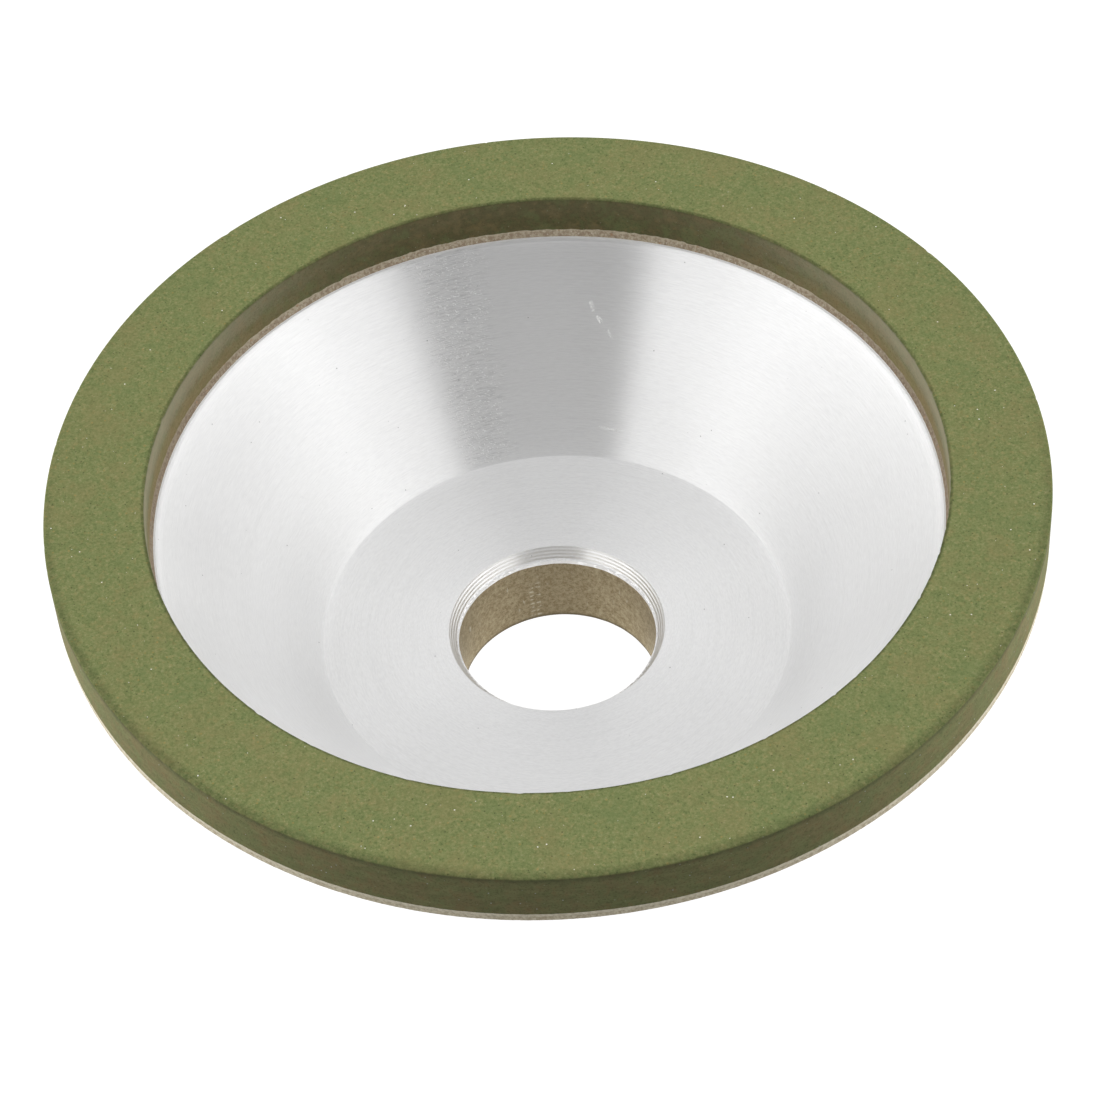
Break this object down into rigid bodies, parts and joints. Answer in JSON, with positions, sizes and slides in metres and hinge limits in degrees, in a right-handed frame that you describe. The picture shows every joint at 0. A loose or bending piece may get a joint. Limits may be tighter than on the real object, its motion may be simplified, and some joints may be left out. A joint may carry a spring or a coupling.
{
  "type": "diamond grinding wheel",
  "caption": "Bowl-shaped resin-bond diamond grinding wheel: flat abrasive ring on a flaring turned metal cup, with a flat hub web and a plain through bore for a spindle.",
  "frame": {"origin": "centre of the back face, on the surface that the wheel stands on", "axes": "+Z along the spindle axis, from the back face towards the grinding face; X and Y are any two radial directions"},
  "size_m": [0.1, 0.1, 0.035],
  "materials": {
    "abrasive": "matt green resin bond with fine diamond grit",
    "transition": "granular brown moulding, as pressed",
    "body": "bright turned, fine concentric tool marks",
    "bush": "mottled brown moulding, as pressed"
  },
  "bodies": {
    "root": {"abrasive_ring": "abrasive", "transition_ring": "transition", "cup_body": "body", "bore_bush": "bush"}
  },
  "joints": []
}
